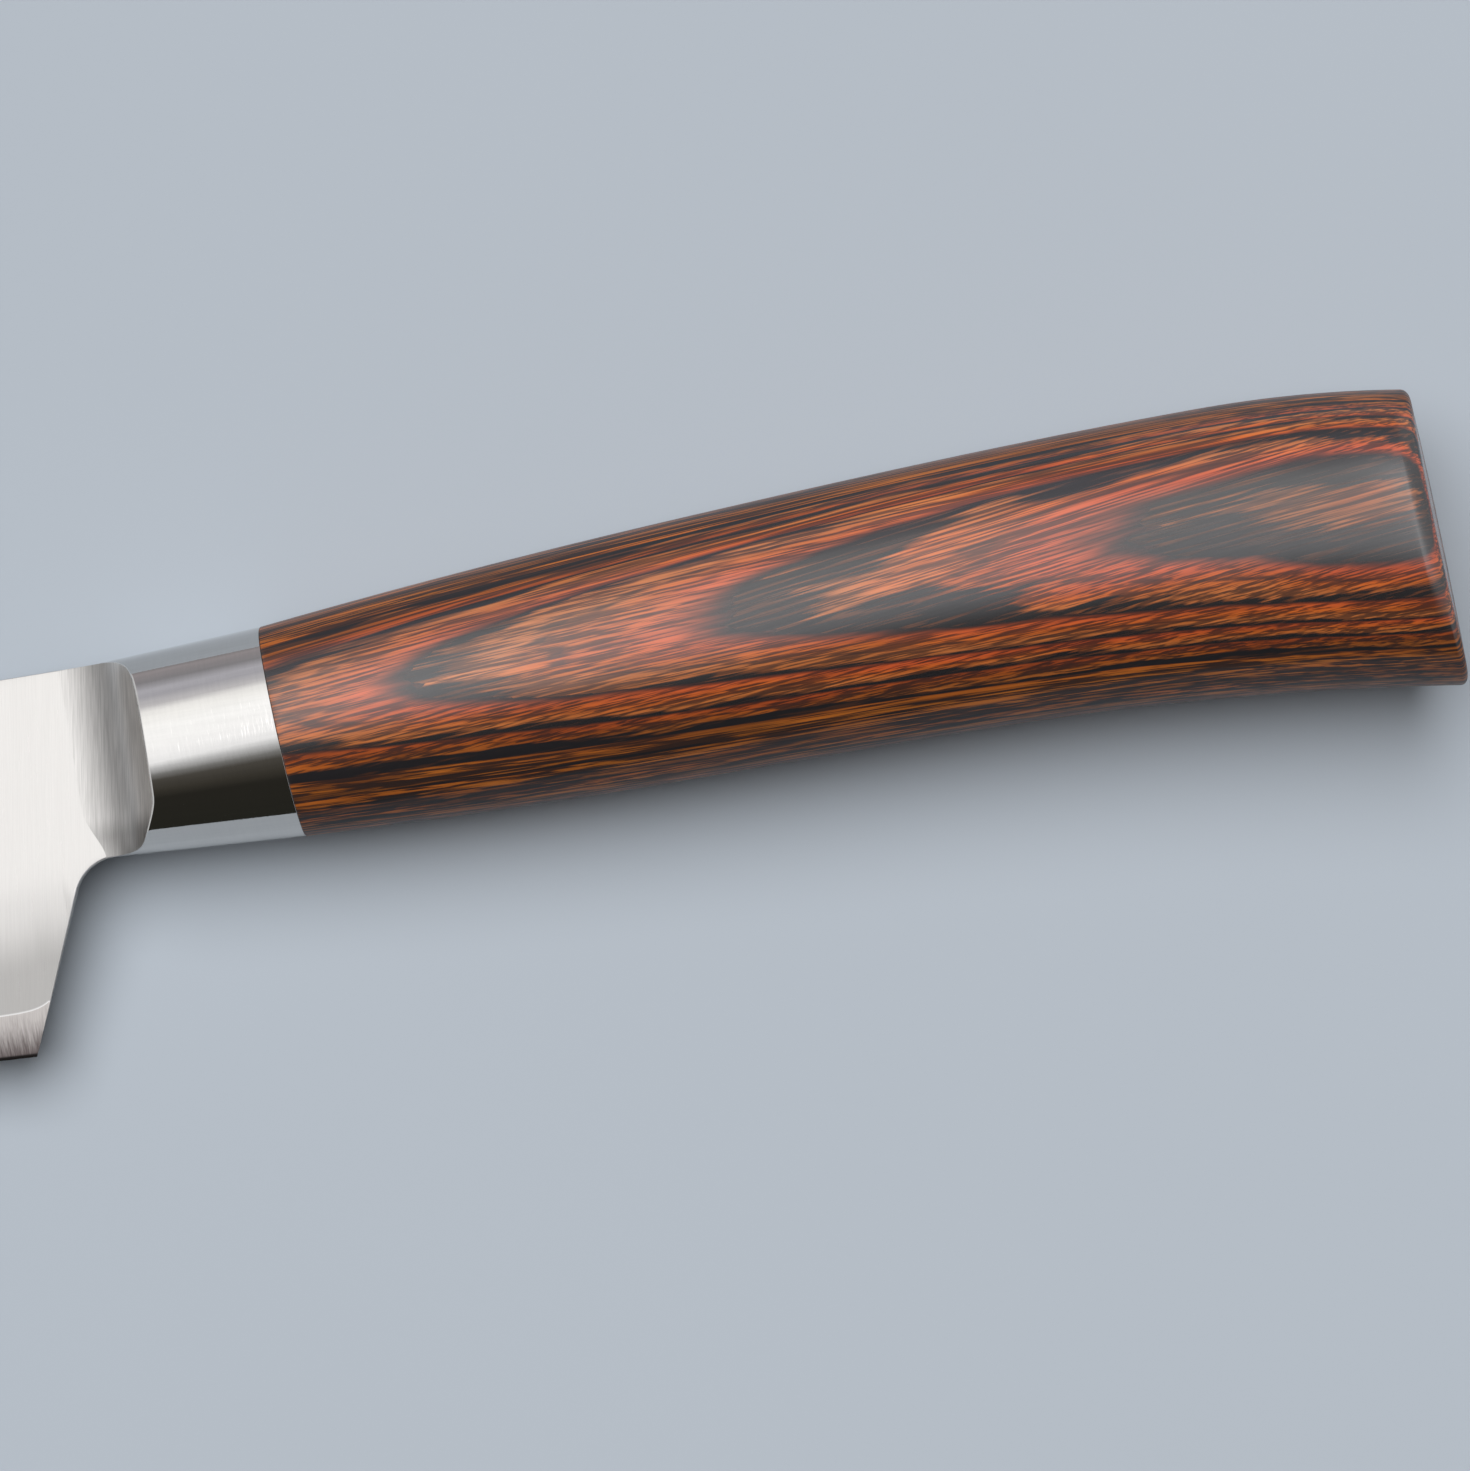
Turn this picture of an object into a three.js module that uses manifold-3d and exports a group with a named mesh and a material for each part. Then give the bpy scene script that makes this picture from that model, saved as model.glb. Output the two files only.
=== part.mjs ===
// A petty knife: a three-layer blade, an oval steel bolster and a laminated wood handle on a hidden tang.
//
// Millimetres. The knife lies on its left or right side. It is drawn around its own axis first:
// x = 0 where the axis passes through the back of the bolster, +x towards the butt, +y towards the spine,
// z = 0 in the middle of the blade's thickness. The finished group is then moved so that the middle of
// its underside is the origin, with +z up.

import * as THREE from "three";
import { mergeVertices } from "three/addons/utils/BufferGeometryUtils.js";
import Module from "manifold-3d";

const wasm = await Module();
wasm.setup();

// Blade
const BLADE_LENGTH = 150; // tip to the front of the bolster
const BLADE_THICKNESS = 1.9; // at the spine, over the heel
const CORE_THICKNESS = 0.6; // middle layer of the three
const TIP_THICKNESS = 0.8; // at the spine, by the tip
const TIP_LAND = 0.6; // blunt height of the tip itself
const TIP_DROP = 8.5; // tip below the axis
const SPINE_RISE = 8.5; // spine above the axis
const SPINE_EASE = 0.3; // chamfer along both edges of the spine
const SPINE_STRAIGHT = 75; // stretch over which the spine stays nearly straight, from the heel
const SPINE_FALL_LENGTH = 34; // stretch in front of the tip over which the spine comes down
const SPINE_FALL = 11; // height of the spine's last stretch above the tip
const HEEL_DROP = 24.7; // heel corner below the axis
const HEEL_REACH = 9.2; // heel corner in front of the bolster
const HEEL_SLANT = 23; // degrees that the heel's back leans towards the handle
const HEEL_FILLET = 4; // round between the heel's back and the bolster's underside
const EDGE_RISE = 2.8; // degrees that the edge climbs from the heel towards the tip
const EDGE_STRAIGHT = 62; // stretch over which the edge keeps that climb
const BELLY_LENGTH = 30; // stretch in front of the tip over which the edge sweeps up
const BELLY_DROP = 10; // depth of the edge's last stretch below the tip
const BEVEL_HEIGHT = 3.85; // edge to the line where the core comes out of the cladding
const GRIND_HEIGHT = 14.7; // edge to the flat upper part of the face
const FLAT_LENGTH = 60; // stretch from the heel that keeps the full thickness

// Bolster
const BOLSTER_LENGTH = 16.9;
const BOLSTER_FRONT_HEIGHT = 16.9;
const BOLSTER_FRONT_THICKNESS = 14.2;
const BOLSTER_BELLY_FULLNESS = 1.8; // section at the front, on the edge's side: 2 is an ellipse, 1 is straight
const RAMP_RADIUS = 7; // hollow that leads from the blade's face up to the bolster
const RAMP_LIP = 0.2; // thickness of the bolster's front edge on the blade
const BLADE_SEAT = 4.4; // depth to which the blade's full height sits in the bolster

// Tang
const STUB_HEIGHT = 11; // the blade's own short tang
const STUB_REACH = 3; // stub behind the bolster
const STUB_OVERLAP = 1; // stub drawn into the blade so that the two are one solid
const WELD_WIDTH = 2;
const WELD_THICKNESS = 3.4;
const WELD_HEIGHT = 10;
const TANG_LENGTH = 60;
const TANG_THICKNESS = 3;
const TANG_FRONT_HEIGHT = 9;
const TANG_REAR_HEIGHT = 6;
const BORE_HEIGHT = 12.5;
const BORE_THICKNESS = 5;
const BORE_END = 4; // bore beyond the end of the tang

// Handle
const HANDLE_LENGTH = 103;
const JOINT_HEIGHT = 18.8; // bolster and wood where they meet
const JOINT_THICKNESS = 16;
const BACK_MID_AT = 38; // upper outline: places along the handle and rises above the axis
const BACK_MID_RISE = 12.8;
const BACK_HUMP_AT = 85;
const BACK_HUMP_RISE = 14.85;
const BACK_BUTT_RISE = 13.5;
const GRIP_FRONT_AT = 25; // lower outline: places along the handle and drops below the axis
const GRIP_FRONT_DROP = 10;
const GRIP_REAR_AT = 72;
const GRIP_REAR_DROP = 10.1;
const BUTT_DROP = 13;
const SWELL_AT = 92; // place of the greatest thickness
const SWELL_THICKNESS = 21;
const BUTT_THICKNESS = 20.8;
const BUTT_ROUND = 0.6; // round around the butt's face
const BUTT_BOW = 1.3; // how far the butt's face falls back towards the sides
const BUTT_BOW_RUN = 13; // stretch in front of the butt over which that bow begins
const CROWN_SHARE = 0.43; // how far the thickest line lies below the upper outline, as a share of the height
const BACK_FULLNESS = 2.8; // section on the spine's side: 2 is an ellipse, above it the corner fills out
const BELLY_FULLNESS = 2.2; // section on the edge's side
const END_TILT = 2.7; // degrees that the joint and the butt lean off square

// Clearances
const SEAT_GAP = 0.2; // around the stub in the bolster
const GLUE_GAP = 0.1; // bolster to wood
const RESIN_GAP = 0.1; // resin to bore and to tang

// Fineness
const BLADE_STATIONS = 22;
const OVAL_POINTS = 48;
const HANDLE_STATIONS = 20;
const ROUND_STATIONS = 4;
const BUTT_STATIONS = 3; // rings across the butt's face
const RAMP_SEGMENTS = 96;
const FILLET_SEGMENTS = 10;

// Lines that several pieces share
const bladeHalf = BLADE_THICKNESS / 2;
const coreHalf = CORE_THICKNESS / 2;
const bolsterFront = -BOLSTER_LENGTH;
const shoulder = bolsterFront + BLADE_SEAT;
const heel = new THREE.Vector2(bolsterFront - HEEL_REACH, -HEEL_DROP);
const tip = new THREE.Vector2(bolsterFront - BLADE_LENGTH, -TIP_DROP);
const weldEnd = STUB_REACH + WELD_WIDTH;
const tangEnd = weldEnd + TANG_LENGTH;
const boreDepth = tangEnd + BORE_END;
const endLean = Math.tan(THREE.MathUtils.degToRad(END_TILT));
const beyond = Math.max(BLADE_LENGTH, HANDLE_LENGTH); // reach of cutters that pass right through

// The body that a closed geometry bounds, for joining and cutting.
function bodyOf(geometry) {
  const plain = geometry.index ? geometry.toNonIndexed() : geometry.clone();
  plain.deleteAttribute("normal");
  plain.deleteAttribute("uv");
  const merged = mergeVertices(plain);
  const vertProperties = new Float32Array(merged.attributes.position.array);
  const triVerts = new Uint32Array(merged.index.array);
  return new wasm.Manifold(new wasm.Mesh({ numProp: 3, vertProperties, triVerts }));
}

// The geometry that shows a body.
function geometryOf(body) {
  const { vertProperties, triVerts } = body.getMesh();
  const geometry = new THREE.BufferGeometry();
  geometry.setAttribute("position", new THREE.BufferAttribute(new Float32Array(vertProperties), 3));
  geometry.setIndex(new THREE.BufferAttribute(new Uint32Array(triVerts), 1));
  geometry.computeVertexNormals();
  return geometry;
}

// A box between two corners.
function box(low, high) {
  const size = high.map((value, axis) => value - low[axis]);
  const middle = high.map((value, axis) => (value + low[axis]) / 2);
  return bodyOf(new THREE.BoxGeometry(...size).translate(...middle));
}

// A flat outline in x and y, made thick about z = 0.
function plate(shape, thickness, segments = 1) {
  const options = { depth: thickness, bevelEnabled: false, curveSegments: segments };
  return bodyOf(new THREE.ExtrudeGeometry(shape, options).translate(0, 0, -thickness / 2));
}

// A skin over rings of equally many points. The rings run along +x and turn from +y to +z.
function loft(rings) {
  const count = rings[0].length;
  const positions = rings.flat(2);
  const index = [];
  for (let ring = 0; ring + 1 < rings.length; ring += 1) {
    for (let point = 0; point < count; point += 1) {
      const here = ring * count + point;
      const beside = ring * count + ((point + 1) % count);
      index.push(here, beside, here + count, beside, beside + count, here + count);
    }
  }
  const last = (rings.length - 1) * count;
  for (let point = 1; point + 1 < count; point += 1) {
    index.push(0, point + 1, point);
    index.push(last, last + point, last + point + 1);
  }
  const geometry = new THREE.BufferGeometry();
  geometry.setAttribute("position", new THREE.Float32BufferAttribute(positions, 3));
  geometry.setIndex(index);
  return bodyOf(geometry);
}

// A smooth height over x through a few given places.
function heightThrough(places) {
  const last = places.length - 1;
  const chord = (from, to) => (places[to][1] - places[from][1]) / (places[to][0] - places[from][0]);
  const slopes = places.map((_, at) => chord(Math.max(at - 1, 0), Math.min(at + 1, last)));
  slopes[0] = 2 * chord(0, 1) - slopes[1];
  slopes[last] = 2 * chord(last - 1, last) - slopes[last - 1];
  return (x) => {
    let at = 0;
    while (at < last - 1 && x > places[at + 1][0]) at += 1;
    const run = places[at + 1][0] - places[at][0];
    const t = (x - places[at][0]) / run;
    const start = places[at][1] * (1 + 2 * t) * (1 - t) ** 2 + slopes[at] * run * t * (1 - t) ** 2;
    const end = places[at + 1][1] * t * t * (3 - 2 * t) - slopes[at + 1] * run * t * t * (1 - t);
    return start + end;
  };
}

// An egg-shaped ring: rise above and drop below the axis, thickest at the crown line, leaning off square.
// Its halves towards the spine and the edge are superellipses, each with its own fullness.
function eggRing(x, rise, drop, half, lean, belly = BELLY_FULLNESS) {
  const crown = rise - CROWN_SHARE * (rise + drop);
  return Array.from({ length: OVAL_POINTS }, (_, point) => {
    const angle = (2 * Math.PI * point) / OVAL_POINTS;
    const up = Math.cos(angle);
    const out = Math.sin(angle);
    const reach = up > 0 ? rise - crown : crown + drop;
    const power = 2 / (up > 0 ? BACK_FULLNESS : belly);
    const y = crown + reach * Math.sign(up) * Math.abs(up) ** power;
    return [x - y * lean, y, half * Math.sign(out) * Math.abs(out) ** power];
  });
}

// A ring near the butt, moved forward by the square of each point's distance from the middle of the thickness.
function bowed(ring) {
  return ring.map(([x, y, z]) => {
    const near = THREE.MathUtils.clamp(1 - (HANDLE_LENGTH - x) / BUTT_BOW_RUN, 0, 1);
    return [x - BUTT_BOW * near ** 2 * ((2 * z) / BUTT_THICKNESS) ** 2, y, z];
  });
}

// A ring drawn together towards its middle: share 1 leaves it as it is.
function drawnIn(ring, share) {
  const middle = [0, 1, 2].map((axis) => ring.reduce((sum, point) => sum + point[axis], 0) / ring.length);
  return ring.map((point) => point.map((value, axis) => THREE.MathUtils.lerp(middle[axis], value, share)));
}

// A straight row of values, both ends included.
function row(from, to, steps) {
  return Array.from({ length: steps + 1 }, (_, step) => THREE.MathUtils.lerp(from, to, step / steps));
}

// One ring of the blade, from the spine down one face, around the edge and up the other face.
function bladeRing(edge, spine, half) {
  const height = edge.distanceTo(spine);
  const bevel = Math.min(BEVEL_HEIGHT, height / 3);
  const grind = Math.min(GRIND_HEIGHT, (2 * height) / 3);
  const ease = Math.min(SPINE_EASE, height / 6);
  const face = [
    [bevel, coreHalf],
    [grind, half],
    [height - ease, half],
    [height, half - ease / 2],
  ];
  const at = ([up, z]) => {
    const place = edge.clone().lerp(spine, up / height);
    return [place.x, place.y, z];
  };
  const left = face.map(at).reverse();
  const right = face.map(([up, z]) => at([up, -z]));
  return [...left, at([0, 0]), ...right];
}

// The blade's outer form before it is told apart into layers: ground faces, heel, and the stub behind.
function bladeBlank() {
  const climb = Math.tan(THREE.MathUtils.degToRad(EDGE_RISE));
  const edge = new THREE.CubicBezierCurve(
    tip,
    new THREE.Vector2(tip.x + BELLY_LENGTH, tip.y - BELLY_DROP),
    new THREE.Vector2(heel.x - EDGE_STRAIGHT, heel.y + climb * EDGE_STRAIGHT),
    heel,
  );
  const spine = new THREE.CubicBezierCurve(
    new THREE.Vector2(tip.x, tip.y + TIP_LAND),
    new THREE.Vector2(tip.x + SPINE_FALL_LENGTH, tip.y + SPINE_FALL),
    new THREE.Vector2(heel.x - SPINE_STRAIGHT, SPINE_RISE),
    new THREE.Vector2(heel.x, SPINE_RISE),
  );
  const rings = row(0, 1, BLADE_STATIONS).map((share) => {
    const low = edge.getPoint(share);
    const thinned = Math.max(heel.x - low.x - FLAT_LENGTH, 0) / (heel.x - tip.x - FLAT_LENGTH);
    const half = THREE.MathUtils.lerp(bladeHalf, TIP_THICKNESS / 2, thinned);
    return bladeRing(low, spine.getPoint(share), half);
  });
  const behind = new THREE.Vector2(shoulder, heel.y - climb * (shoulder - heel.x));
  rings.push(bladeRing(behind, new THREE.Vector2(shoulder, SPINE_RISE), bladeHalf));
  const stubHalf = STUB_HEIGHT / 2;
  const stub = box([shoulder - STUB_OVERLAP, -stubHalf, -bladeHalf], [STUB_REACH, stubHalf, bladeHalf]);
  return loft(rings).subtract(heelCutter()).add(stub);
}

// The open corner behind the heel: a slanted back with a round that runs out under the bolster.
function heelCutter() {
  const slant = THREE.MathUtils.degToRad(HEEL_SLANT);
  const under = -BOLSTER_FRONT_HEIGHT / 2;
  const turn = Math.PI / 2 - slant;
  const corner = new THREE.Vector2(heel.x + (under - heel.y) * Math.tan(slant), under);
  const setback = HEEL_FILLET * Math.tan(turn / 2);
  const centre = new THREE.Vector2(corner.x + setback, under - HEEL_FILLET);
  const below = heel.y - HEEL_DROP;
  const outline = new THREE.Shape();
  outline.moveTo(heel.x + (below - heel.y) * Math.tan(slant), below);
  outline.lineTo(beyond, below);
  outline.lineTo(beyond, under);
  outline.lineTo(centre.x, under);
  outline.absarc(centre.x, centre.y, HEEL_FILLET, Math.PI / 2, Math.PI / 2 + turn, false);
  outline.closePath();
  return plate(outline, 2 * BLADE_THICKNESS, FILLET_SEGMENTS);
}

// The part of the blade between two heights of its thickness.
function bladeLayer(low, high) {
  return bladeBlank().intersect(box([-2 * beyond, -beyond, low], [beyond, beyond, high]));
}

function bolster() {
  const front = BOLSTER_FRONT_HEIGHT / 2;
  const back = JOINT_HEIGHT / 2;
  const body = loft([
    eggRing(bolsterFront, front, front, BOLSTER_FRONT_THICKNESS / 2, 0, BOLSTER_BELLY_FULLNESS),
    eggRing(0, back, back, JOINT_THICKNESS / 2, endLean),
  ]);
  const foot = bolsterFront - Math.sqrt(RAMP_LIP * (2 * RAMP_RADIUS - RAMP_LIP));
  const span = 2 * JOINT_HEIGHT;
  const ramp = () => new THREE.CylinderGeometry(RAMP_RADIUS, RAMP_RADIUS, span, RAMP_SEGMENTS);
  const lift = bladeHalf + RAMP_RADIUS;
  const upper = bodyOf(ramp().translate(foot, 0, lift));
  const lower = bodyOf(ramp().translate(foot, 0, -lift));
  const stubHalf = STUB_HEIGHT / 2 + SEAT_GAP;
  const bladeSlot = box([-beyond, -beyond, -bladeHalf], [shoulder + SEAT_GAP, beyond, bladeHalf]);
  const stubSlot = box([shoulder, -stubHalf, -bladeHalf], [beyond, stubHalf, bladeHalf]);
  return body.subtract(upper).subtract(lower).subtract(bladeSlot.add(stubSlot));
}

// The weld and the tang bar, grown by a clearance where they stand for the room left for them.
function tangWeld(grow) {
  const half = WELD_HEIGHT / 2 + grow;
  const root = bladeHalf + grow;
  const crest = WELD_THICKNESS / 2 + grow;
  const bead = new THREE.Shape();
  bead.moveTo(STUB_REACH - grow, -root);
  bead.quadraticCurveTo(STUB_REACH + WELD_WIDTH / 2, -2 * crest + root, weldEnd + grow, -root);
  bead.lineTo(weldEnd + grow, root);
  bead.quadraticCurveTo(STUB_REACH + WELD_WIDTH / 2, 2 * crest - root, STUB_REACH - grow, root);
  bead.closePath();
  const options = { depth: 2 * half, bevelEnabled: false, curveSegments: FILLET_SEGMENTS };
  return bodyOf(new THREE.ExtrudeGeometry(bead, options).rotateX(Math.PI / 2).translate(0, half, 0));
}

function tangBar(grow) {
  const front = TANG_FRONT_HEIGHT / 2 + grow;
  const rear = TANG_REAR_HEIGHT / 2 + grow;
  const outline = new THREE.Shape();
  outline.moveTo(weldEnd - grow, -front);
  outline.lineTo(tangEnd + grow, -rear);
  outline.lineTo(tangEnd + grow, rear);
  outline.lineTo(weldEnd - grow, front);
  outline.closePath();
  return plate(outline, TANG_THICKNESS + 2 * grow);
}

// The bore in the wood, or what fills it when it is shrunk by a clearance.
function bore(front, shrink) {
  const high = BORE_HEIGHT / 2 - shrink;
  const thick = BORE_THICKNESS / 2 - shrink;
  return box([front, -high, -thick], [boreDepth - shrink, high, thick]);
}

function tangResin() {
  const stubHalf = STUB_HEIGHT / 2 + RESIN_GAP;
  const root = bladeHalf + RESIN_GAP;
  const stubRoom = box([-beyond, -stubHalf, -root], [STUB_REACH + RESIN_GAP, stubHalf, root]);
  const room = stubRoom.add(tangWeld(RESIN_GAP)).add(tangBar(RESIN_GAP));
  return bore(JOINT_HEIGHT * endLean, RESIN_GAP).subtract(room);
}

function handle() {
  const upper = heightThrough([
    [0, JOINT_HEIGHT / 2],
    [BACK_MID_AT, BACK_MID_RISE],
    [BACK_HUMP_AT, BACK_HUMP_RISE],
    [HANDLE_LENGTH, BACK_BUTT_RISE],
  ]);
  const lower = heightThrough([
    [0, JOINT_HEIGHT / 2],
    [GRIP_FRONT_AT, GRIP_FRONT_DROP],
    [GRIP_REAR_AT, GRIP_REAR_DROP],
    [HANDLE_LENGTH, BUTT_DROP],
  ]);
  const half = heightThrough([
    [0, JOINT_THICKNESS / 2],
    [SWELL_AT, SWELL_THICKNESS / 2],
    [HANDLE_LENGTH, BUTT_THICKNESS / 2],
  ]);
  const ring = (x, inset) => eggRing(x, upper(x) - inset, lower(x) - inset, half(x) - inset, endLean);
  const roundStart = HANDLE_LENGTH - BUTT_ROUND;
  const rings = row(GLUE_GAP, roundStart, HANDLE_STATIONS).map((x) => ring(x, 0));
  for (const angle of row(0, Math.PI / 2, ROUND_STATIONS).slice(1)) {
    rings.push(ring(roundStart + BUTT_ROUND * Math.sin(angle), BUTT_ROUND * (1 - Math.cos(angle))));
  }
  const rim = rings[rings.length - 1];
  for (const share of row(1, 0.1, BUTT_STATIONS).slice(1)) rings.push(drawnIn(rim, share));
  return loft(rings.map(bowed)).subtract(bore(-beyond, 0));
}

// One named piece with its own colour and finish.
function piece(name, body, color, roughness, metalness) {
  const material = new THREE.MeshStandardMaterial({ color, roughness, metalness });
  const mesh = new THREE.Mesh(geometryOf(body), material);
  mesh.name = name;
  return mesh;
}

const knife = new THREE.Group();
knife.name = "petty_knife";
knife.add(
  piece("blade_core", bladeLayer(-coreHalf, coreHalf), 0x8d8885, 0.35, 1),
  piece("cladding_left", bladeLayer(coreHalf, BLADE_THICKNESS), 0xdcdad6, 0.38, 1),
  piece("cladding_right", bladeLayer(-BLADE_THICKNESS, -coreHalf), 0xdcdad6, 0.38, 1),
  piece("bolster", bolster(), 0xc4c6c7, 0.14, 1),
  piece("tang_weld", tangWeld(0), 0x76716c, 0.6, 1),
  piece("tang_bar", tangBar(0), 0x8f9194, 0.5, 1),
  piece("tang_resin", tangResin(), 0xb99a5b, 0.4, 0),
  piece("handle", handle(), 0x9c4f2e, 0.35, 0),
);

const bounds = new THREE.Box3().setFromObject(knife);
const middle = bounds.getCenter(new THREE.Vector3());
knife.position.set(-middle.x, -middle.y, -bounds.min.z);

export default knife;
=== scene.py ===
"""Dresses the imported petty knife: brushed three-layer blade, polished bolster, laminated wood handle.

Shapes are worked out in the knife's own axes, in metres: x = 0 where the axis passes through the back of
the bolster, +x towards the butt, +y towards the spine, z = 0 in the middle of the blade's thickness. AXIS is
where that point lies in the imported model's frame. Materials use the same axes, in millimetres.
"""

from math import cos, pi, radians, sin, tan

import bmesh
import bpy
import numpy as np
from bpy.props import FloatProperty, FloatVectorProperty, PointerProperty
from bpy.types import Operator, Panel, PropertyGroup
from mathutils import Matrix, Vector


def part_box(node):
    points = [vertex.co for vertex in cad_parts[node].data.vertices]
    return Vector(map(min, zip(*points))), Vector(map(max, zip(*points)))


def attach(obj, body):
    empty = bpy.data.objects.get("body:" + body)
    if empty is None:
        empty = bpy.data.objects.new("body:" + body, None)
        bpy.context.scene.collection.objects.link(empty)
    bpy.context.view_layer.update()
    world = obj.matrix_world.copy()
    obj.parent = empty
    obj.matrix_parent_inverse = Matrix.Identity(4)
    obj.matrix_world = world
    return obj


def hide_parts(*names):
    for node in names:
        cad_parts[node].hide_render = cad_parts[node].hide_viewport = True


bl_info = {
    "name": "Petty knife",
    "version": (1, 0, 0),
    "blender": (4, 5, 0),
    "location": "3D View > Sidebar > Knife",
    "description": "Builds the looks of a petty knife over its packed solids",
    "category": "Object",
}

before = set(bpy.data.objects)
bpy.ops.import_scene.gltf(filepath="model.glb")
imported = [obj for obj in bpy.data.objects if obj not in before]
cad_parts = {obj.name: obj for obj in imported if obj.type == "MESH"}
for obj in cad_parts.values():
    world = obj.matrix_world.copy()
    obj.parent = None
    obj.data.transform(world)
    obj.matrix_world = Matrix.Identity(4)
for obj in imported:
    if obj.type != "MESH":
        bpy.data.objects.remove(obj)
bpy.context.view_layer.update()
MM = 0.001

# How far the blade's stub reaches behind the bolster, and the height of the joint with the wood
STUB_REACH = 3 * MM
JOINT_HEIGHT = 18.8 * MM
CORE_LOW, CORE_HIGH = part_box("blade_core")
AXIS = np.array(
    [
        CORE_HIGH.x - STUB_REACH,
        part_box("bolster")[1].y - JOINT_HEIGHT / 2,
        (CORE_LOW.z + CORE_HIGH.z) / 2,
    ]
)

# Points around a ring, and rings along the handle and the bolster
AROUND_HANDLE, AROUND_BOLSTER = 180, 360
EASE_RINGS, GRIP_RINGS, TAIL_RINGS, ROUND_RINGS = 5, 240, 20, 12
OVAL_RINGS, RIM_RINGS, HOLLOW_RINGS = 70, 7, 48
# Stations along the blade, the power that crowds them towards the tip, and steps up a station
EDGE_STATIONS, BACK_STATIONS, FILLET_STATIONS, SEAT_STATIONS = 261, 90, 40, 20
TIP_CROWDING = 1.3
BEVEL_STEPS, QUARTER_STEPS, FACE_STEPS = 16, 8, 32
# How often a search is halved
HALVINGS = 40
# Points nearer than the first become one, edges below the second go, and a turn below the third is none
SAME_PLACE = 1e-7
NO_WIDTH = 1e-8
NO_TURN = 1e-4
# Edges that bend by more than this stay sharp
SHARP_BEND = radians(32)
# Thickness left at the edge on each side, and the round between the wedge and the flat of the blade
KEEN_HALF = 0.01 * MM
WEDGE_ROUND = 0.09 * MM
# Height of the fine lines in wood and steel
LINE_DEPTH = 0.04 * MM
# Half the floor's side, the way from the knife to the lamp, and the nearest and furthest that the camera sees
FLOOR_REACH = 4.0
LAMP_FROM = Vector((-0.08, 0.38, 1.0))
CAMERA_REACH = (0.01, 50.0)


def size(name, millimetres, description):
    """A length that a user may change."""
    return FloatProperty(
        name=name,
        description=description,
        default=millimetres * MM,
        min=0.0,
        precision=5,
        subtype="DISTANCE",
        unit="LENGTH",
    )


def lean(name, degrees, description):
    """An angle that a user may change."""
    return FloatProperty(
        name=name,
        description=description,
        default=radians(degrees),
        subtype="ANGLE",
        unit="ROTATION",
    )


def share(name, value, description):
    """A plain number that a user may change."""
    return FloatProperty(name=name, description=description, default=value, min=0.0, precision=3)


def tint(name, red, green, blue, description):
    """A linear colour that a user may change."""
    return FloatVectorProperty(
        name=name,
        description=description,
        default=(red, green, blue),
        size=3,
        min=0.0,
        soft_max=1.0,
        subtype="COLOR",
    )


class BladeSizes(PropertyGroup):
    """Sizes of the blade."""

    length: size("Length", 150, "Tip to the front of the bolster")
    thickness: size("Thickness", 1.9, "At the spine, over the heel")
    core: size("Core", 0.6, "Thickness of the middle layer")
    tip_thickness: size("Tip thickness", 0.8, "At the spine, by the tip")
    tip_land: size("Tip land", 0.6, "Blunt height of the tip")
    tip_drop: size("Tip drop", 8.5, "Tip below the axis")
    spine_rise: size("Spine rise", 8.5, "Spine above the axis")
    spine_ease: size("Spine ease", 0.3, "Round along both edges of the spine")
    spine_straight: size("Spine straight", 75, "Stretch over which the spine stays nearly straight")
    spine_fall_length: size("Spine fall length", 34, "Stretch over which the spine comes down to the tip")
    spine_fall: size("Spine fall", 11, "Height of the spine's last stretch above the tip")
    heel_drop: size("Heel drop", 24.7, "Heel corner below the axis")
    heel_reach: size("Heel reach", 9.2, "Heel corner in front of the bolster")
    heel_slant: lean("Heel slant", 23, "Lean of the heel's back towards the handle")
    heel_fillet: size("Heel fillet", 4, "Round between the heel's back and the bolster")
    heel_ease: size("Heel ease", 0.16, "Round along both edges of the heel's back")
    edge_rise: lean("Edge rise", 2.8, "Climb of the edge from the heel towards the tip")
    edge_straight: size("Edge straight", 62, "Stretch over which the edge keeps that climb")
    belly_length: size("Belly length", 30, "Stretch over which the edge sweeps up to the tip")
    belly_drop: size("Belly drop", 10, "Depth of the edge's last stretch below the tip")
    cut_height: size("Cut height", 0.32, "Height of the final cutting bevel")
    cut_angle: lean("Cut angle", 17, "Angle of the cutting bevel on each side")
    line_height: size("Line height", 3.85, "Edge to the line where the core shows")
    line_sweep: size("Line sweep", 0.5, "How far that line climbs at the heel's back")
    line_sweep_run: size("Line sweep run", 1.2, "Stretch over which it climbs")
    grind_height: size("Grind height", 14.7, "Edge to the flat upper part of the face")
    flat_length: size("Flat length", 60, "Stretch from the heel that keeps the full thickness")
    stub_height: size("Stub height", 11, "Height of the short tang behind the blade")


class BolsterSizes(PropertyGroup):
    """Sizes of the bolster."""

    length: size("Length", 16.9, "Along the knife")
    front_height: size("Front height", 16.9, "Spine side to edge side at the front")
    front_thickness: size("Front thickness", 14.2, "Side to side at the front")
    ramp_radius: size("Ramp radius", 7, "Hollow that leads from the blade up to the bolster")
    ramp_lip: size("Ramp lip", 0.2, "Height of the hollow at the bolster's front")
    low_radius: size("Low radius", 4, "The hollow's radius at its lower end")
    low_run: size("Low run", 4.6, "Stretch over which it gets down to that radius")
    low_hold: size("Low hold", 2, "Height at which the hollow stays in place meanwhile")
    rim_round: size("Rim round", 0.16, "Round where the hollow meets the polished oval")
    back_ease: size("Back ease", 0.05, "Round at the joint with the wood")
    crown_share: share("Crown share", 0.495, "How far the thickest line lies below the top, at the front")
    blade_seat: size("Blade seat", 4.4, "Depth to which the blade sits in the bolster")


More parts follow.
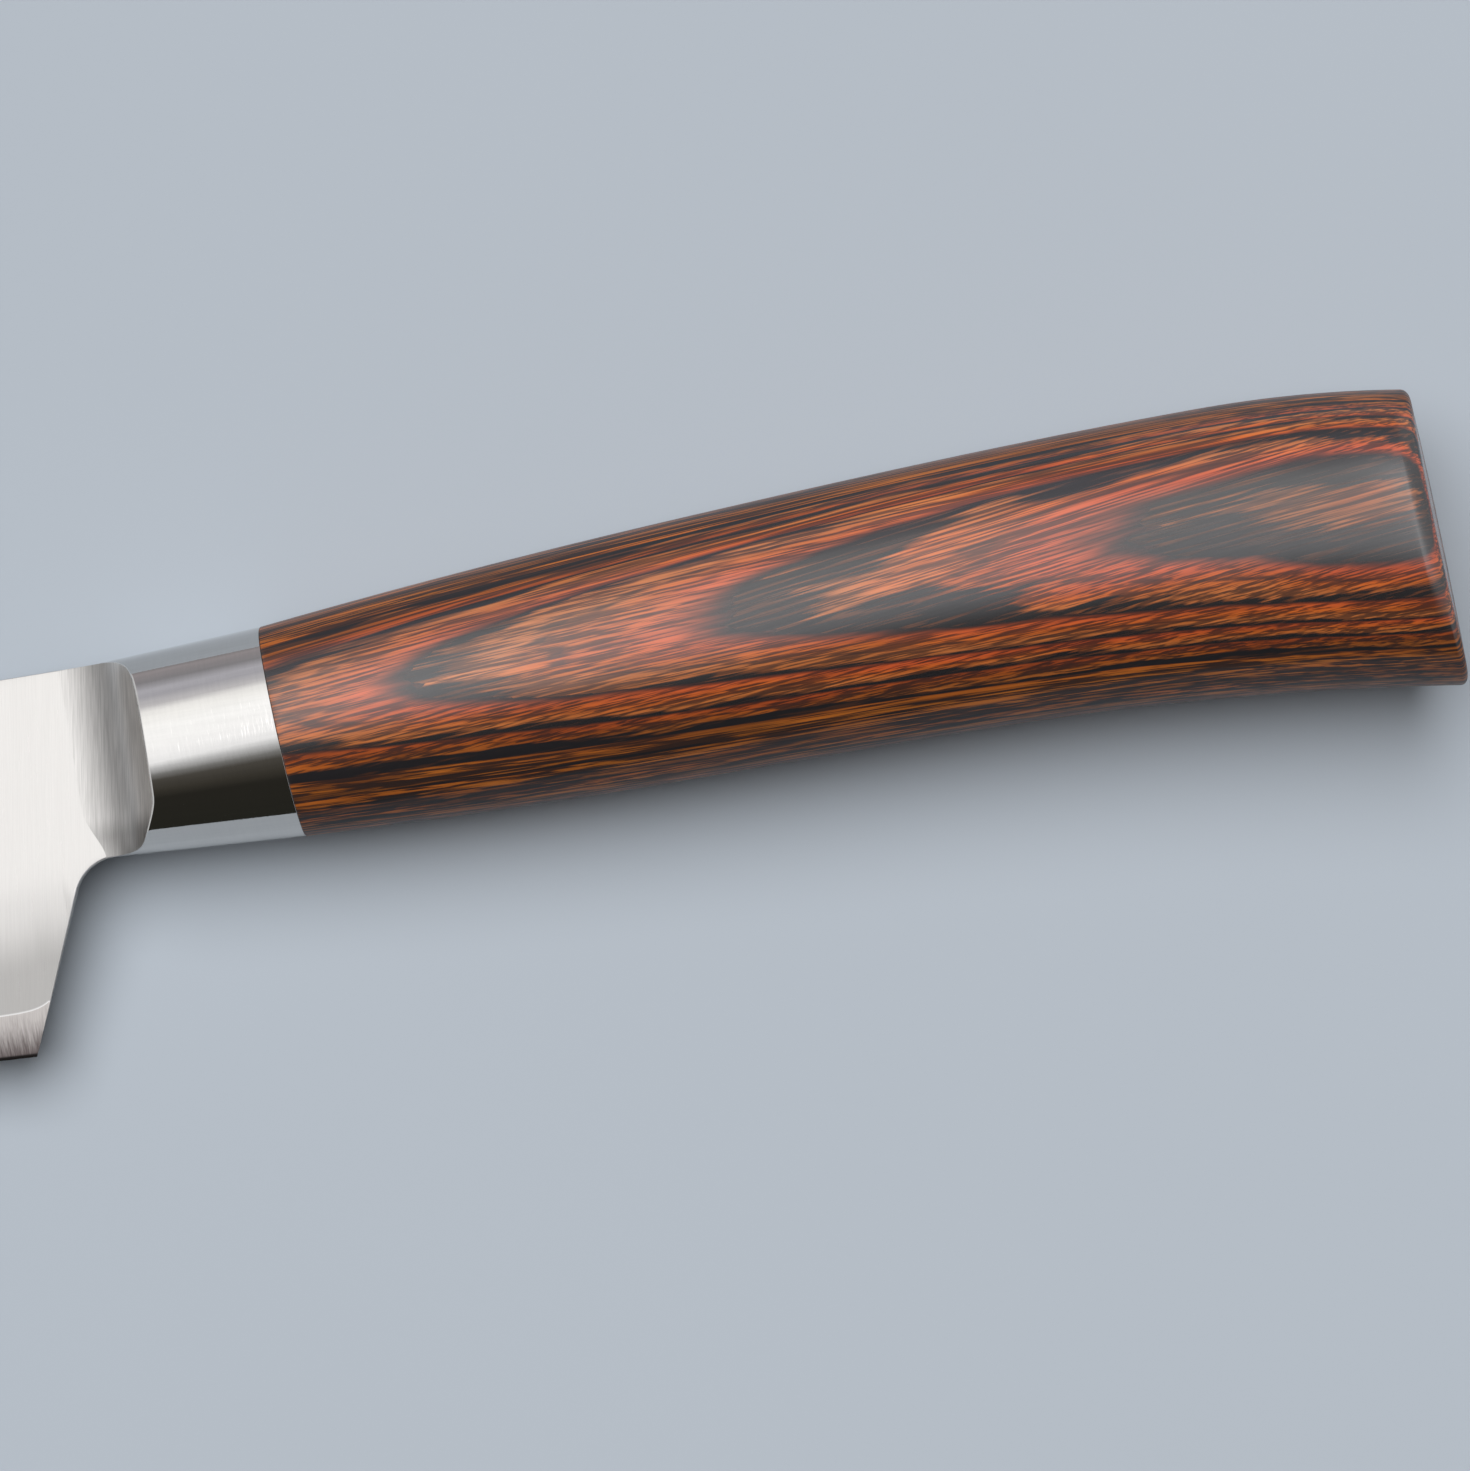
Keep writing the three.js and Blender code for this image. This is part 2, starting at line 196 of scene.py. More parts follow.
class HandleSizes(PropertyGroup):
    """Sizes of the handle."""

    length: size("Length", 103, "Joint to butt")
    joint_thickness: size("Joint thickness", 16, "Side to side at the joint")
    back_mid_at: size("Back middle, place", 38, "Along the handle")
    back_mid_rise: size("Back middle, rise", 12.8, "Upper outline above the axis")
    back_hump_at: size("Back hump, place", 85, "Along the handle")
    back_hump_rise: size("Back hump, rise", 14.85, "Upper outline above the axis")
    back_butt_rise: size("Back butt, rise", 13.5, "Upper outline above the axis")
    grip_front_at: size("Grip front, place", 25, "Along the handle")
    grip_front_drop: size("Grip front, drop", 10, "Lower outline below the axis")
    grip_rear_at: size("Grip rear, place", 72, "Along the handle")
    grip_rear_drop: size("Grip rear, drop", 10.1, "Lower outline below the axis")
    butt_drop: size("Butt drop", 13, "Lower outline below the axis")
    swell_at: size("Swell, place", 92, "Place of the greatest thickness")
    swell_thickness: size("Swell thickness", 21, "Greatest thickness")
    butt_thickness: size("Butt thickness", 20.8, "Thickness at the butt")
    butt_round: size("Butt round", 0.6, "Round of the butt's edge")
    butt_dome: size("Butt dome", 0.2, "Rise of the butt's face in its middle")
    butt_bow: size("Butt bow", 1.3, "How far the butt's face falls back towards the sides")
    butt_bow_run: size("Butt bow run", 12.875, "Stretch over which it begins")
    butt_fall: size("Butt fall", 0.24, "How far the sides fall just before the butt")
    butt_fall_run: size("Butt fall run", 2.1, "Stretch over which they fall")
    front_ease: size("Front ease", 0.04, "Round at the joint with the bolster")
    glue_gap: size("Glue gap", 0.02, "Bolster to wood")
    back_fullness: share("Back fullness", 2.8, "Section towards the spine: 2 is an ellipse, more is squarer")
    belly_fullness: share("Belly fullness", 2.0, "Section towards the edge: 2 is an ellipse, more is squarer")
    crown_share: share("Crown share", 0.42, "How far the thickest line lies below the upper outline")
    end_tilt: lean("End tilt", 2.7, "Lean of the joint and the butt off square")


class WoodFinish(PropertyGroup):
    """Finish of the laminated wood."""

    pitch: size("Pitch", 0.885, "From one dark veneer to the next")
    dark_at: size("Dark veneer", 8.375, "Height of one dark veneer's lower face above the blade's middle")
    uneven: size("Uneven", 0.1, "How far every other dark veneer lies out of step")
    grain_turn: lean("Grain turn", 5, "Angle of the grain to the knife's axis")
    dark: tint("Dark veneer", 0.014, 0.0125, 0.014, "Near black dye")
    tan: tint("Tan veneer", 0.45, 0.136, 0.038, "Just above a dark veneer")
    orange: tint("Orange veneer", 0.5, 0.104, 0.016, "Middle of the light veneer")
    red: tint("Red veneer", 0.48, 0.074, 0.02, "Just below a dark veneer")
    brown: tint("Brown veneer", 0.37, 0.11, 0.015, "Light veneers deeper in the board")
    flank: size("Flank", 5.6, "Height over the blade's middle, below which the veneers show their edges")
    crown: size("Crown", 8.8, "Height over the blade's middle, above which they show their faces")
    coat_roughness: share("Coat roughness", 0.17, "Of the clear sealing coat")


class SteelFinish(PropertyGroup):
    """Finish of the steels."""

    cladding: tint("Cladding", 0.581, 0.562, 0.541, "Brushed outer layers")
    core: tint("Core", 0.435, 0.405, 0.388, "Middle layer by the line")
    edge: tint("Edge", 0.1, 0.082, 0.08, "Middle layer by the edge")
    cut: tint("Cut", 0.03, 0.026, 0.025, "Cutting bevel")
    # Painted highlight: a bright colour on the line where the outer layers end, standing in for light off the
    # step there
    painted_line_highlight: tint("Painted highlight", 0.62, 0.61, 0.6, "Bright line where the outer layers end")
    bolster: tint("Bolster", 0.6, 0.585, 0.565, "Polished oval")
    hidden: tint("Tang", 0.33, 0.335, 0.34, "Bar inside the handle")
    weld: tint("Weld", 0.2, 0.185, 0.17, "Weld bead inside the handle")
    resin: tint("Resin", 0.42, 0.27, 0.08, "Cured resin in the bore")


class StageLook(PropertyGroup):
    """Floor, light and camera."""

    floor: tint("Floor", 0.432, 0.478, 0.533, "Plain floor")
    ceiling: share("Ceiling", 1.65, "Strength of the soft light that the steel reflects")
    lamp: share("Lamp", 3.37, "Strength of the soft lamp that lights wood and floor")
    lamp_spread: lean("Lamp spread", 55, "Width of that lamp, which softens its shadows")
    view_x: size("View along", 39.1, "What the middle of the picture shows, along the axis")
    view_y: size("View below", 6.83, "What the middle of the picture shows, below the axis")
    view_height: size("View height", 500, "Camera above the blade's middle")
    view_width: size("View width", 129.45, "Width of the picture at the blade's middle")
    view_turn: lean("View turn", 9.4, "Turn of the knife in the picture")


class KnifeSettings(PropertyGroup):
    """All that a user may change."""

    blade: PointerProperty(type=BladeSizes)
    bolster: PointerProperty(type=BolsterSizes)
    handle: PointerProperty(type=HandleSizes)
    wood: PointerProperty(type=WoodFinish)
    steel: PointerProperty(type=SteelFinish)
    stage: PointerProperty(type=StageLook)


def settings():
    """The scene's own values."""
    return bpy.context.scene.petty_knife


def smooth_through(places):
    """Height over x through a few places: cubics that share a slope where they meet, that of the chord
    between the neighbouring places."""
    at_x, at_y = np.array(places).T
    slope = np.empty_like(at_y)
    slope[1:-1] = (at_y[2:] - at_y[:-2]) / (at_x[2:] - at_x[:-2])
    slope[0] = 2 * (at_y[1] - at_y[0]) / (at_x[1] - at_x[0]) - slope[1]
    slope[-1] = 2 * (at_y[-1] - at_y[-2]) / (at_x[-1] - at_x[-2]) - slope[-2]

    def height(x):
        """The cubic of the stretch that x lies in, from the heights and slopes at its two ends."""
        i = np.clip(np.searchsorted(at_x, x, side="right") - 1, 0, len(at_x) - 2)
        run = at_x[i + 1] - at_x[i]
        t = (x - at_x[i]) / run
        start = at_y[i] * (1 + 2 * t) * (1 - t) ** 2 + slope[i] * run * t * (1 - t) ** 2
        return start + at_y[i + 1] * t**2 * (3 - 2 * t) - slope[i + 1] * run * t**2 * (1 - t)

    return height


def egg(x, rise, drop, half, slope, angle, crown_share):
    """Points of an egg-shaped section: two half ovals that meet at the crown line, which lies a set share of
    the height below the top. Each is a superellipse: at fullness 2 an ellipse, above 2 its corners fill out.
    Each point moves along x by its height times the slope."""
    crown = rise - crown_share * (rise + drop)
    up, out = np.cos(angle), np.sin(angle)
    own = settings().handle
    power = 2 / np.where(up > 0, own.back_fullness, own.belly_fullness)
    up = np.sign(up) * np.abs(up) ** power
    out = np.sign(out) * np.abs(out) ** power
    y = crown + np.where(up > 0, rise - crown, crown + drop) * up
    return np.stack(np.broadcast_arrays(x - y * slope, y, half * out), -1)


def bezier(points, t):
    """Points of the cubic curve that four control points set."""
    a, b, c, d = np.array(points)[:, None, :]
    t = np.asarray(t)[:, None]
    return a * (1 - t) ** 3 + 3 * b * t * (1 - t) ** 2 + 3 * c * t**2 * (1 - t) + d * t**3


def blend_down(a, b, width):
    """The lower of two heights, rounded over where they cross."""
    mix = np.clip(0.5 + (b - a) / (2 * width), 0, 1)
    return b + (a - b) * mix - width * mix * (1 - mix)


def make_piece(name, rings, stands_for, materials, kinds=None, marks=None):
    """A closed skin over rings of equally many points, which run along +x and turn from +y to +z. kinds gives
    the material of each band between two rings, and marks holds a number for every point."""
    count, around = rings.shape[:2]
    index = np.arange(count * around).reshape(count, around)
    beside = np.roll(index, -1, axis=1)
    quads = np.stack([index[:-1], beside[:-1], beside[1:], index[1:]], -1).reshape(-1, 4)
    faces = quads.tolist() + [index[0, ::-1].tolist(), index[-1].tolist()]
    mesh = bpy.data.meshes.new(name)
    mesh.from_pydata((rings + AXIS).reshape(-1, 3), [], faces)
    for material in materials:
        mesh.materials.append(material)
    if kinds is not None:
        bands = np.concatenate([np.repeat(kinds, around), [kinds[0], kinds[-1]]])
        mesh.polygons.foreach_set("material_index", bands.astype(np.int32))
    for mark, values in (marks or {}).items():
        held = mesh.attributes.new(mark, "FLOAT", "POINT").data
        held.foreach_set("value", values.ravel().astype(np.float32))
    work = bmesh.new()
    work.from_mesh(mesh)
    bmesh.ops.remove_doubles(work, verts=work.verts, dist=SAME_PLACE)
    bmesh.ops.dissolve_degenerate(work, edges=work.edges, dist=NO_WIDTH)
    work.to_mesh(mesh)
    work.free()
    mesh.shade_smooth()
    mesh.set_sharp_from_angle(angle=SHARP_BEND)
    piece = bpy.data.objects.new(name, mesh)
    bpy.context.scene.collection.objects.link(piece)
    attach(piece, "root")
    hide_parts(*stands_for)
    return piece


class Wire:
    """A shader socket that takes part in Python sums."""

    def __init__(self, socket):
        self.socket = socket

    def node(self, kind, options=None, inputs=None, output=0):
        """A new node of that kind: options are set first, then its sockets get numbers, colours or wires."""
        tree = self.socket.id_data
        made = tree.nodes.new(kind)
        for key, value in (options or {}).items():
            if key == "stops":
                ramp = made.color_ramp.elements
                for at in range(len(value) - len(ramp)):
                    ramp.new(0.5 + 0.01 * at)
                for stop, (place, colour) in zip(ramp, value):
                    stop.position = place
                    stop.color = (*colour, 1.0)
            else:
                setattr(made, key, value)
        for key, value in (inputs or {}).items():
            if isinstance(value, Wire):
                tree.links.new(value.socket, made.inputs[key])
            else:
                made.inputs[key].default_value = value
        return Wire(made.outputs[output]) if made.outputs else None

    def other(self, output):
        """Another output of the same node."""
        return Wire(self.socket.node.outputs[output])

    def math(self, operation, first, second=0.0):
        """One Math node."""
        return self.node("ShaderNodeMath", {"operation": operation}, {0: first, 1: second})

    def __add__(self, value):
        return self.math("ADD", self, value)

    __radd__ = __add__

    def __sub__(self, value):
        return self.math("SUBTRACT", self, value)

    def __rsub__(self, value):
        return self.math("SUBTRACT", value, self)

    def __mul__(self, value):
        return self.math("MULTIPLY", self, value)

    __rmul__ = __mul__

    def __truediv__(self, value):
        return self.math("DIVIDE", self, value)

    def __abs__(self):
        return self.math("ABSOLUTE", self)

    def step(self, start, end, low=0.0, high=1.0):
        """Goes smoothly from low to high while this goes from start to end."""
        options = {"interpolation_type": "SMOOTHSTEP"}
        return self.node("ShaderNodeMapRange", options, {0: self, 1: start, 2: end, 3: low, 4: high})

    def mix(self, first, second):
        """A colour between two, by this."""
        options = {"data_type": "RGBA", "clamp_factor": True}
        colours = {6: as_colour(first), 7: as_colour(second)}
        return self.node("ShaderNodeMix", options, {0: self, **colours}, output=2)

    def shade(self, colour):
        """A colour, wired or three numbers, times this."""
        base = colour if isinstance(colour, Wire) else tuple(colour)
        return self.node("ShaderNodeVectorMath", {"operation": "SCALE"}, {0: base, "Scale": self})

    def stretch(self, x, y, z):
        """A vector of three numbers or wires."""
        return self.node("ShaderNodeCombineXYZ", {}, {0: x, 1: y, 2: z})

    def noise(self, detail=2.0, roughness=0.5):
        """Soft noise about 0.5 at this place."""
        inputs = {"Vector": self, "Scale": 1.0, "Detail": detail, "Roughness": roughness}
        return self.node("ShaderNodeTexNoise", {"noise_dimensions": "3D"}, inputs)

    def bump(self, strength):
        """A normal bent by this height, in line depths."""
        inputs = {"Strength": strength, "Distance": LINE_DEPTH, "Height": self}
        return self.node("ShaderNodeBump", {}, inputs)


def layer_number(layers, step=0.7, start=0.15):
    """A number from 0 to 1 that is the same all over one layer: the layer's count times the step, from the
    start on and without its whole part, so that neighbours differ."""
    steps = layers.math("FLOOR", layers) * step + start
    return steps.math("FRACT", steps)


def as_colour(value):
    """A wire as it is, or three numbers as an opaque colour."""
    return value if isinstance(value, Wire) else (*value, 1.0)


def surface(name, recipe):
    """A material whose recipe takes the place on the knife, in millimetres from the axis point, as x, y and z
    wires and gives the values of the shader's sockets."""
    material = bpy.data.materials.new(name)
    material.use_nodes = True
    tree = material.node_tree
    tree.nodes.clear()
    place = Wire(tree.nodes.new("ShaderNodeTexCoord").outputs["Object"])
    scaled = {"Vector": place, "Location": tuple(-AXIS / MM), "Scale": (1 / MM,) * 3}
    moved = place.node("ShaderNodeMapping", {"vector_type": "POINT"}, scaled)
    x = moved.node("ShaderNodeSeparateXYZ", {}, {0: moved})
    shader = place.node("ShaderNodeBsdfPrincipled", {}, recipe(x, x.other(1), x.other(2)))
    place.node("ShaderNodeOutputMaterial", {}, {"Surface": shader})
    return material


def wood_surface(finish):
    """Flat dyed veneers, stacked square to the blade's side: the height over the blade's middle, bent by
    noise, picks the veneer. A dark veneer starts sharply and ends in fine dashes along the grain, which leans
    a little differently in each veneer. On the flanks, where the veneers show their edges, they are browner,
    and thin dark sheets lie between them."""

    def recipe(x, y, z):
        # Layers: a height that waves a little, counted in veneers
        sway = x.stretch(x * 0.03, y * 0.07, z * 0.08).noise(1.0) - 0.5
        ripple = x.stretch(x * 0.09, y * 0.5, z * 0.5).noise(2.0) - 0.5
        height = z + sway * 0.12 + ripple * 0.2 - finish.dark_at / MM
        by_turns = height.math("SINE", height * (pi * MM / 2 / finish.pitch)) * (finish.uneven / MM)
        layers = (height + by_turns) / (finish.pitch / MM)
        # Grain: along and across it, and streaks from wide to fine
        slant = layer_number(layers) * 0.11 + tan(finish.grain_turn) - 0.045
        along = x + y * slant
        across = y - x * slant
        cloud = x.stretch(along * 0.05, across * 0.3, z * 0.3).noise(2.0, 0.5) - 0.5
        outer = abs(z).step(finish.flank / MM, finish.crown / MM)

        def strands(length, width):
            """Noise stretched along the grain: over a veneer's face or, on the flanks, along its edge."""
            face = x.stretch(along / length, across / width, z / width)
            edge = x.stretch(along / (length * 1.6), across / (width * 3.5), z / (width * 0.9))
            in_edge = edge.noise(2.0, 0.6)
            return in_edge + (face.noise(2.0, 0.6) - in_edge) * outer

        dash = strands(14.0, 0.66)
        fibre = strands(16.5, 0.32)
        hair = strands(15.5, 0.19)
        # Light veneers: their colour goes with the place in the layer
        turns = layers + (fibre - 0.5) * 0.08 + (dash - 0.5) * 0.12
        phase = turns.math("FRACT", turns)
        kind = layer_number(turns)
        stops = [(0.3, finish.tan), (0.55, finish.orange), (0.82, finish.red), (0.97, finish.red)]
        light = phase.node("ShaderNodeValToRGB", {"stops": stops}, {"Fac": phase + cloud * 0.7})
        warm = (outer * 0.8 + kind * 0.25 + cloud * 0.5).mix(finish.brown, light)
        tone = hair.step(0.36, 0.64, 1.24, 0.66) * dash.step(0.34, 0.66, 1.12, 0.84)
        tone = tone * layer_number(turns, 0.28, 0.33).step(0.62, 0.88, 1.0, 0.6)
        # Dark veneers, and the dark seams, sheets, threads and flecks beside them
        patch = x.stretch(along * 0.05, across * 0.2, kind * 9.0).noise(1.0)
        soaked = (kind * 0.24 + 0.055) * (outer * 0.75 + 0.65) * patch.step(0.3, 0.7, 0.4, 1.9)
        end = soaked + (fibre - 0.46) * 0.7 + (dash - 0.5) * 0.6
        band = 1.0 - ((phase - end) / (outer * 0.05 + 0.05)).step(-1.0, 1.0)
        blur = outer * 0.16 + 0.04
        seam = ((phase - 1.0) / blur).step(-1.0, 0.0, 0.0, 0.97)
        sheets = x.stretch(x * 0.03, y * 0.08, layers * 3.0).noise(3.0, 0.6)
        sheets = sheets.step(0.48, 0.6) * (1.0 - outer) * dash.step(0.36, 0.52)
        thread = (1.0 - abs(phase - kind * 0.3 - 0.4).step(0.02, 0.08)) * fibre.step(0.4, 0.55)
        flecks = (fibre - phase * 0.04 - outer * 0.02).step(0.47, 0.55) * (0.95 - outer * 0.22)
        fine = hair.step(0.47, 0.57, 0.0, 0.88) * (1.0 - outer * 0.2)
        dark = band * fibre.step(0.36, 0.5, 0.8, 1.0)
        for part in (seam, sheets * 0.7, thread * 0.85, flecks, fine):
            dark = dark.math("MAXIMUM", dark, part)
        return {
            "Base Color": dark.mix(tone.shade(warm), finish.dark),
            "Roughness": hair.step(0.2, 0.8, 0.38, 0.5),
            "Normal": (hair * 0.5 + fibre * 0.5).bump(0.08),
            "Coat Weight": outer.step(0.0, 1.0, 0.28, 1.0) * hair.step(0.2, 0.8, 1.0, 0.85),
            "Coat Roughness": finish.coat_roughness,
            "Coat IOR": 1.8,
            "Specular IOR Level": 0.1,
        }

    return surface("laminated_wood", recipe)


def brushed_surface(name, colour_of, roughness=0.3, depth=0.035):
    """Fine lines from spine to edge: noise stretched along y, in tone, gloss and height. colour_of gives the
    colour before the lines, and depth is how far they lighten and darken it."""

    def recipe(x, y, z):
        tilted = x - y * 0.15
        fine = x.stretch(tilted * 11.0, y * 0.25, z * 0.4).noise(2.0, 0.6)
        coarse = x.stretch(tilted * 3.0, y * 0.09, z * 0.2).noise(3.0, 0.6)
        tone = fine.step(0.25, 0.75, 1.0 - depth, 1.0 + depth) * coarse.step(0.25, 0.75, 0.985, 1.015)
        return {
            "Base Color": tone.shade(colour_of(x)),
            "Metallic": 1.0,
            "Roughness": fine * 0.12 + (roughness - 0.06),
            "Normal": (fine * 0.6 + coarse * 0.4).bump(0.12),
        }

    return surface(name, recipe)


def cladding_surface(finish):
    """Brushed, with a painted highlight on the line where the layer ends and painted shade towards it."""

    def colour_of(x):
        above = x.node("ShaderNodeAttribute", {"attribute_name": "above_line"}, {}, output=2)
        # Painted highlight in a thin band just above the line where the layer ends
        painted_line_highlight = 1.0 - above.step(0.04, 0.2)
        # Painted shade: the face darkens towards the line, standing in for the grind tilting away from the
        # light
        shadow = above.step(3.2, 8.6, 0.63, 0.94) + above.step(7.0, 13.0, 0.0, 0.06)
        return painted_line_highlight.mix(shadow.shade(finish.cladding), finish.painted_line_highlight)

    return brushed_surface("brushed_cladding", colour_of)


def core_surface(finish):
    """Brushed across the edge and darker towards it."""

    def colour_of(x):
        up = x.node("ShaderNodeAttribute", {"attribute_name": "up_bevel"}, {}, output=2)
        scratch = x.stretch(x * 5.0, up * 1.5, 0.0).noise(3.0, 0.7)
        ground = (up + (scratch - 0.5) * 1.1).step(0.0, 0.95).mix(finish.edge, finish.core)
        return up.step(0.05, 0.1).mix(finish.cut, ground)

    return brushed_surface("core_steel", colour_of, 0.34, 0.09)


def ramp_surface(finish):
    """Brushed as the blade, without its line; painted light where it is steep, painted shade low down."""

    def colour_of(x):
        # Painted light pales the steep upper hollow, and painted shade darkens its lower end
        steep = x.step(-14.3, -13.1, 1.0, 1.4)
        painted_low_shade = x.other(1).step(-6.8, -4.6, 0.6, 1.0)
        return (steep * painted_low_shade).shade(finish.cladding)

    return brushed_surface("brushed_ramp", colour_of, 0.33, 0.15)


def polished_surface(finish):
    """Mirror polish with faint lines along the knife and a few finer ones across."""

    def recipe(x, y, z):
        along = x.stretch(x * 0.05, y * 2.2, z * 2.2).noise(3.0, 0.6)
        across = x.stretch(x * 4.0, y * 0.45, z * 0.45).noise(2.0, 0.6)
        tone = along.step(0.25, 0.75, 0.975, 1.02) * across.step(0.25, 0.75, 0.98, 1.01)
        return {
            "Base Color": tone.shade(finish.bolster),
            "Metallic": 1.0,
            "Roughness": along * 0.03 + across * 0.03 + 0.01,
            "Normal": (along * 0.2 + across).bump(0.12),
        }

    return surface("polished_bolster", recipe)


def hidden_surface(name, colour, roughness, metallic):
    """A plain inner piece: cloudy tone and gloss."""

    def recipe(x, y, z):
        cloud = x.stretch(x * 0.4, y * 0.8, z * 0.8).noise(4.0, 0.6)
        return {
            "Base Color": cloud.step(0.2, 0.8, 0.8, 1.1).shade(colour),
            "Metallic": metallic,
            "Roughness": cloud * 0.2 + (roughness - 0.1),
        }

    return surface(name, recipe)


def handle_rings(own):
    """Rings along the handle: egg sections over the three outlines, drawn in at both ends by a quarter round,
    then shrunk on to the middle of a slightly domed butt. Just before the butt the sides fall a little, and
    over the last stretch the points move back by the bow times the square of their place across."""
    half_joint = JOINT_HEIGHT / 2
    upper = smooth_through(
        [
            (0, half_joint),
            (own.back_mid_at, own.back_mid_rise),
            (own.back_hump_at, own.back_hump_rise),
            (own.length, own.back_butt_rise),
        ]
    )
    lower = smooth_through(
        [
            (0, half_joint),
            (own.grip_front_at, own.grip_front_drop),
            (own.grip_rear_at, own.grip_rear_drop),
            (own.length, own.butt_drop),
        ]
    )
    half = smooth_through(
        [
            (0, own.joint_thickness / 2),
            (own.swell_at, own.swell_thickness / 2),
            (own.length, own.butt_thickness / 2),
        ]
    )
    front = np.linspace(0, pi / 2, EASE_RINGS)
    rear = np.linspace(0, pi / 2, ROUND_RINGS)[1:]
    angle = np.linspace(0, 2 * pi, AROUND_HANDLE, endpoint=False)
    body_start = own.glue_gap + own.front_ease
    body_end = own.length - own.butt_dome - own.butt_round
    fall_start = own.length - own.butt_fall_run
    grip = np.linspace(body_start, fall_start, GRIP_RINGS)[1:]
    tail = np.linspace(fall_start, body_end, TAIL_RINGS)[1:]
    front_x = own.glue_gap + own.front_ease * (1 - np.cos(front))
    rear_x = body_end + own.butt_round * np.sin(rear)
    x = np.concatenate([front_x, grip, tail, rear_x])
    front_inset = own.front_ease * (1 - np.sin(front))
    rear_inset = own.butt_round * (1 - np.cos(rear))
    inset = np.concatenate([front_inset, np.zeros(len(grip) + len(tail)), rear_inset])
    fallen = np.clip((x - fall_start) / own.butt_fall_run, 0, 1)
    sides = half(x) - inset - own.butt_fall * fallen**1.5
    shape = (upper(x) - inset, lower(x) - inset, sides)
    slope = tan(own.end_tilt)
    outlines = (line[:, None] for line in shape)
    rings = egg(x[:, None], *outlines, slope, angle, own.crown_share)
    shrink = np.array([0.97, 0.9, 0.75, 0.55, 0.35, 0.15, 0.03])[:, None, None]
    middle = rings[-1].mean(0)
    butt = middle + (rings[-1] - middle) * shrink
    butt[..., 0] += own.butt_dome * (1 - shrink[..., 0] ** 2)
    rings = np.concatenate([rings, butt])
    near_butt = np.clip(1 - (own.length - rings[..., 0]) / own.butt_bow_run, 0, 1) ** 2
    rings[..., 0] -= own.butt_bow * near_butt * (rings[..., 2] / own.butt_thickness * 2) ** 2
    return rings


def bolster_rings(own, handle, blade_half):
    """Rings from the joint forward over the polished oval, over a small round, and down the hollow to the
    blade's face. The oval tapers evenly, and its crown line moves evenly to the handle's. The hollow is a
    circle's arc over x, tangent to the face at its foot, with a smaller radius towards its lower end; where
    it meets the oval is found by halving, for all angles at once."""
    angle = np.linspace(0, 2 * pi, AROUND_BOLSTER, endpoint=False)
    foot = -own.length - np.sqrt(own.ramp_lip * (2 * own.ramp_radius - own.ramp_lip))

    def oval(x):
        """The polished oval's points at x, which may differ from angle to angle."""
        back = 1 + x / own.length
        tall = own.front_height / 2 + (JOINT_HEIGHT - own.front_height) / 2 * back
        side = own.front_thickness / 2 + (handle.joint_thickness - own.front_thickness) / 2 * back
        crown = own.crown_share + (handle.crown_share - own.crown_share) * np.clip(back, 0, 1)
        slope = tan(handle.end_tilt) * np.clip(back, 0, 1)
        return egg(x, tall, tall, side, slope, angle, crown)

    def arc(y):
        """The hollow's radius at y, and the start that keeps the hollow in place at the height to hold."""
        low = np.clip(1 - (y + own.front_height / 2) / own.low_run, 0, 1)
        radius = own.ramp_radius + (own.low_radius - own.ramp_radius) * low**2 * (3 - 2 * low)
        hold = own.low_hold
        moved = np.sqrt(hold * (2 * own.ramp_radius - hold)) - np.sqrt(hold * (2 * radius - hold))
        return radius, foot + moved

    def above_ramp(points):
        """Whether points lie outside the hollow's arc and in front of its end."""
        radius, start = arc(points[..., 1])
        over = np.clip(points[..., 0] - start, 0, radius)
        ramp = blade_half + radius - np.sqrt(radius**2 - over**2)
        return (np.abs(points[..., 2]) > ramp) & (points[..., 0] < start + radius)

    low, high = np.full(angle.shape, foot), np.zeros(angle.shape)
    for _ in range(HALVINGS):
        middle = (low + high) / 2
        cut = above_ramp(oval(middle))
        low, high = np.where(cut, middle, low), np.where(cut, high, middle)
    meet = oval(high)
    radius, start = arc(meet[:, 1])
    swing = np.arcsin(np.clip((meet[:, 0] - start) / radius, 0, 1))
    # The small round takes less than half of the arc
    small = np.minimum(own.rim_round, 0.4 * radius * swing)

    def hollow(turn):
        """The hollow's points at a turn of its arc, straight across from where it meets the oval."""
        x = start + radius * np.sin(turn)
        z = blade_half + radius * (1 - np.cos(turn))
        flat = np.where(swing > NO_TURN, z, np.abs(meet[:, 2]))
        return np.stack(np.broadcast_arrays(x, meet[:, 1], np.sign(meet[:, 2]) * flat), -1)

    before, after = oval(high + small), hollow(swing - small / radius)
    step = np.linspace(0, 1, OVAL_RINGS)[:, None]
    body = oval(-own.back_ease + step * (high + small + own.back_ease))
    t = np.linspace(0, 1, RIM_RINGS)[1:-1, None, None]
    rim = (1 - t) ** 2 * before + 2 * t * (1 - t) * meet + t**2 * after
    ramp = hollow((swing - small / radius) * np.linspace(1, 0, HOLLOW_RINGS)[:, None])
    face = oval(np.zeros(angle.shape))
    centre = face.mean(0)
    ease = face + (centre - face) * (own.back_ease / np.linalg.norm(face - centre, axis=-1, keepdims=True))
    rings = np.concatenate([ease[None], body, rim, ramp])
    brushed = len(ramp) + len(rim) // 2
    kinds = np.arange(len(rings) - 1) >= len(rings) - 1 - brushed
    return rings[::-1], kinds[::-1]


